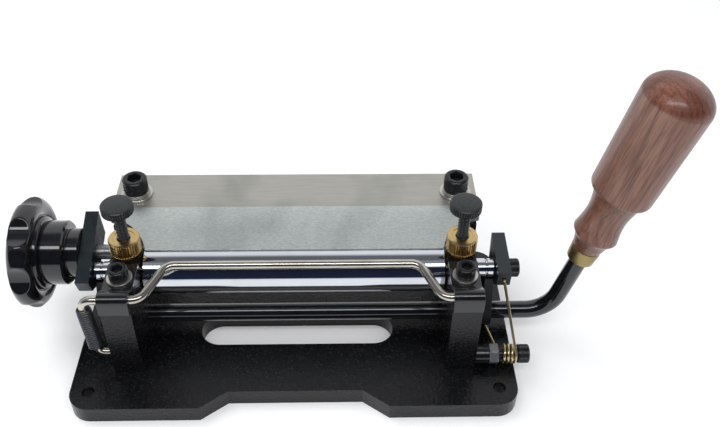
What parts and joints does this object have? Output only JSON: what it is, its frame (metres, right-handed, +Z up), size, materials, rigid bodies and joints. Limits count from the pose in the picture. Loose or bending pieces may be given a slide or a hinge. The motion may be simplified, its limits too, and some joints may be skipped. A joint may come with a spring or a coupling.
{
  "type": "leather splitting machine",
  "caption": "Bench leather splitter: blade over a cam-lowered chrome roller between two uprights on a base plate, with side handle, lock knob and hold-down wire.",
  "frame": {"origin": "centre of the four bench holes on the base plate's underside", "axes": "+Z up, +X to the handle side along the roller, -Y to the user, who feeds the leather from there"},
  "size_m": [0.338, 0.1186, 0.1677],
  "materials": {
    "black_paint": "gloss black paint with a fine wrinkle",
    "black_oxide": "black oxide, satin",
    "blade_steel": "ground steel, brushed bevel",
    "washer_steel": "bright steel",
    "clip_black": "satin black",
    "nut_steel": "dark satin steel",
    "yellow_zinc": "yellow zinc plated spring wire",
    "nickel_wire": "nickel plated wire",
    "spring_black": "black spring wire",
    "chrome": "polished chrome",
    "bronze": "oiled bronze",
    "arm_black": "satin green-black",
    "handle_black": "gloss black",
    "aged_brass": "aged brass",
    "rosewood": "varnished rosewood",
    "bakelite": "gloss black bakelite",
    "thumb_black": "satin dark grey, knurled",
    "brass": "turned and knurled brass"
  },
  "bodies": {
    "frame": {"base_plate": "black_paint", "left_upright": "black_paint", "right_upright": "black_paint", "upright_bolts": "black_oxide", "blade": "blade_steel", "blade_screws": "black_oxide", "blade_washers": "washer_steel", "blade_spring_washers": "washer_steel", "left_clip": "clip_black", "right_clip": "clip_black", "clip_screws": "black_oxide", "clip_washers": "washer_steel", "torsion_bolt": "black_oxide", "torsion_spacer": "clip_black", "torsion_nut": "nut_steel", "torsion_spring": "yellow_zinc", "anchor_pin": "nickel_wire", "extension_spring": "spring_black"},
    "carriage": {"roller_axle": "chrome", "left_slide_block": "bronze", "right_slide_block": "bronze", "left_arm": "arm_black", "right_arm": "arm_black", "left_arm_screw": "black_oxide", "right_arm_screw": "black_oxide"},
    "roller": {"roller_tube": "chrome", "roller_bushes": "bronze"},
    "handle": {"handle_bar": "handle_black", "left_cam": "arm_black", "right_cam": "arm_black", "cam_set_screws": "black_oxide", "handle_ferrule": "aged_brass", "handle_grip": "rosewood"},
    "lock_knob": {"star_knob": "bakelite", "knob_hub": "bakelite", "knob_stud": "nut_steel"},
    "guide_wire": {"guide_wire": "nickel_wire"},
    "left_thumb_screw": {"left_thumb_screw": "thumb_black"},
    "right_thumb_screw": {"right_thumb_screw": "thumb_black"},
    "left_lock_nut": {"left_lock_nut": "brass"},
    "right_lock_nut": {"right_lock_nut": "brass"}
  },
  "joints": [
    {"name": "handle_swing", "type": "hinge", "parent": "frame", "child": "handle", "pos_m": [0, -0.0005, 0.02], "axis": [1, 0, 0], "range_deg": [0, 80], "deforming": ["torsion_spring"]},
    {"name": "carriage_slide", "type": "slide", "parent": "frame", "child": "carriage", "axis": [0, 0, 1], "range_m": [-0.01, 0], "deforming": ["torsion_spring"]},
    {"name": "roller_spin", "type": "hinge", "parent": "carriage", "child": "roller", "pos_m": [0, 0.0045, 0.0472], "axis": [1, 0, 0], "continuous": true},
    {"name": "lock_knob_turn", "type": "hinge", "parent": "carriage", "child": "lock_knob", "pos_m": [-0.125, 0.01484, 0.05096], "axis": [-1, 0, 0], "range_deg": [0, 180]},
    {"name": "guide_wire_lift", "type": "hinge", "parent": "frame", "child": "guide_wire", "pos_m": [0, -0.0307, 0.0623], "axis": [1, 0, 0], "range_deg": [-20, 100], "stiffness_Nm_per_rad": 0.1, "springref_deg": 2.86, "deforming": ["extension_spring"]},
    {"name": "left_thumb_turn", "type": "hinge", "parent": "frame", "child": "left_thumb_screw", "pos_m": [-0.086, 0.0045, 0.09], "axis": [0, 0, 1], "continuous": true},
    {"name": "left_nut_turn", "type": "hinge", "parent": "frame", "child": "left_lock_nut", "pos_m": [-0.086, 0.0045, 0.065], "axis": [0, 0, 1], "continuous": true},
    {"name": "right_thumb_turn", "type": "hinge", "parent": "frame", "child": "right_thumb_screw", "pos_m": [0.086, 0.0045, 0.09], "axis": [0, 0, 1], "continuous": true},
    {"name": "right_nut_turn", "type": "hinge", "parent": "frame", "child": "right_lock_nut", "pos_m": [0.086, 0.0045, 0.065], "axis": [0, 0, 1], "continuous": true}
  ],
  "couplings": [
    {"joint": "carriage_slide", "follows": "handle_swing", "m_per_rad": -0.007162}
  ]
}
